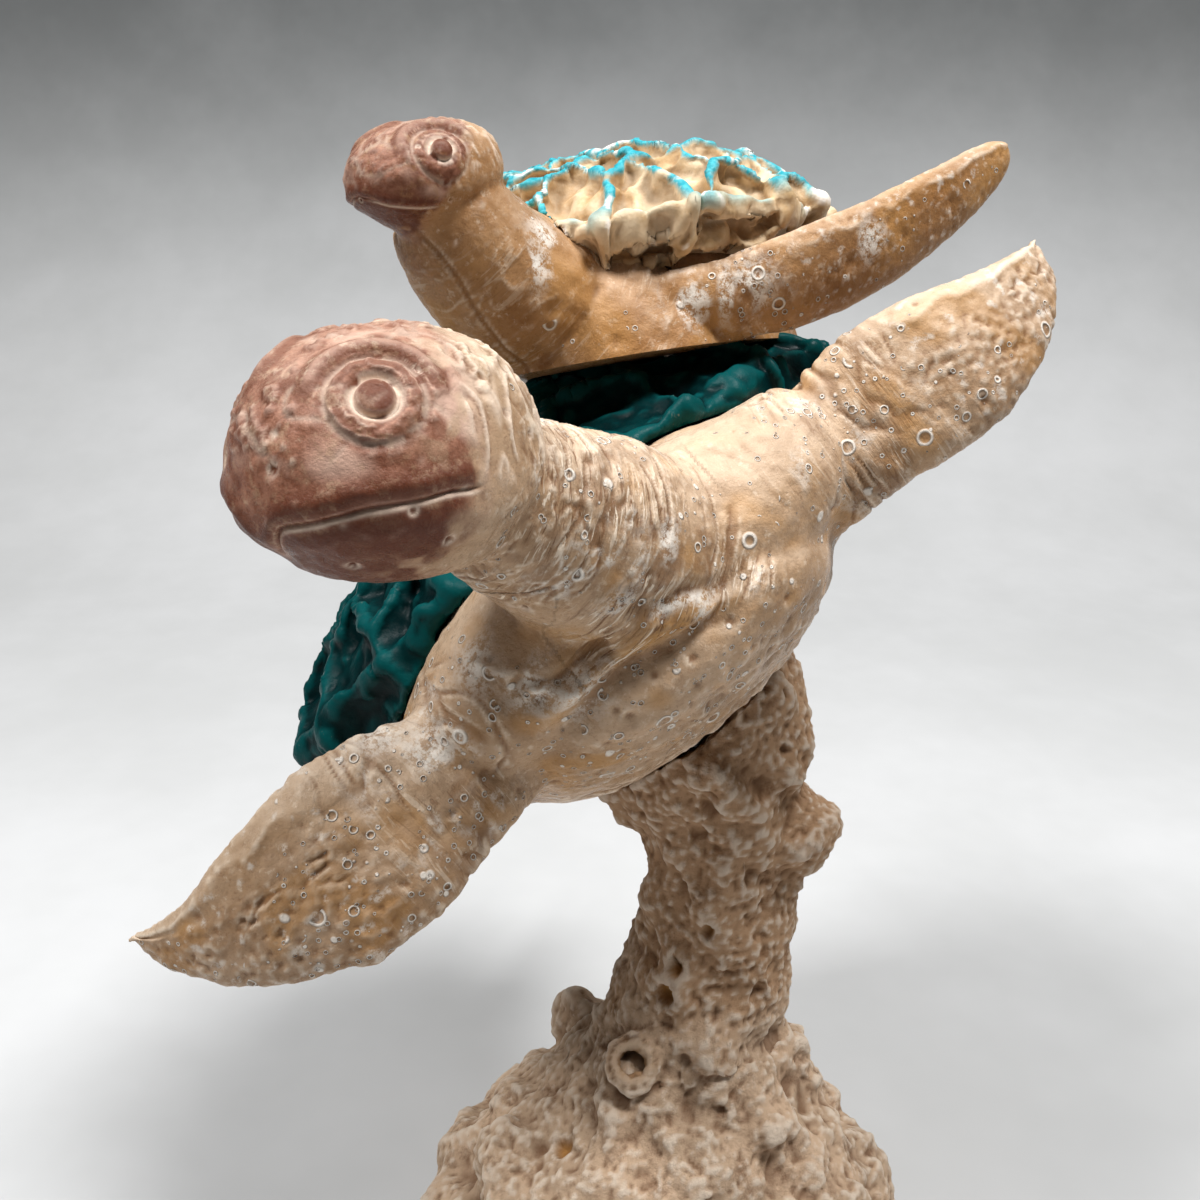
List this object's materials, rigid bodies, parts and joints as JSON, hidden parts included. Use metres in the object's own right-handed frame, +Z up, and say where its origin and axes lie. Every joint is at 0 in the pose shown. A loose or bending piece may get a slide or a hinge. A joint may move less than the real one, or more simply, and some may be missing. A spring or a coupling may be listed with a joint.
{
  "type": "sea turtle figurine",
  "caption": "Cast resin ornament of a large sea turtle banking over a coral stand, with a small turtle riding on its shell.",
  "frame": {"origin": "middle of the felt pad's underside, on the table", "axes": "+Z up; -Y towards the viewer, the side both heads look to; +X to the viewer's right"},
  "size_m": [0.134, 0.1626, 0.2096],
  "materials": {
    "bone_resin": "matte cast resin, tan with a brown wash",
    "face_resin": "matte cast resin, tan with a mauve-brown face",
    "teal_shell": "satin teal paint on cast resin",
    "net_shell": "cream cast resin with turquoise ridges",
    "coral_resin": "rough porous cast resin",
    "steel": "plain drawn steel",
    "felt": "grey felt"
  },
  "bodies": {
    "root": {"felt_pad": "felt", "coral_base": "coral_resin", "coral_pillar": "coral_resin", "pillar_rod": "steel", "large_body": "bone_resin", "large_head": "face_resin", "large_carapace": "teal_shell", "large_fore_flipper_left": "bone_resin", "large_fore_flipper_right": "bone_resin", "large_hind_flipper_left": "bone_resin", "large_hind_flipper_right": "bone_resin", "small_body": "bone_resin", "small_carapace": "net_shell", "small_fore_flipper_left": "bone_resin", "small_fore_flipper_right": "bone_resin", "small_hind_flipper_left": "bone_resin", "small_hind_flipper_right": "bone_resin", "seat_pin_front": "steel", "seat_pin_rear": "steel"}
  },
  "joints": []
}
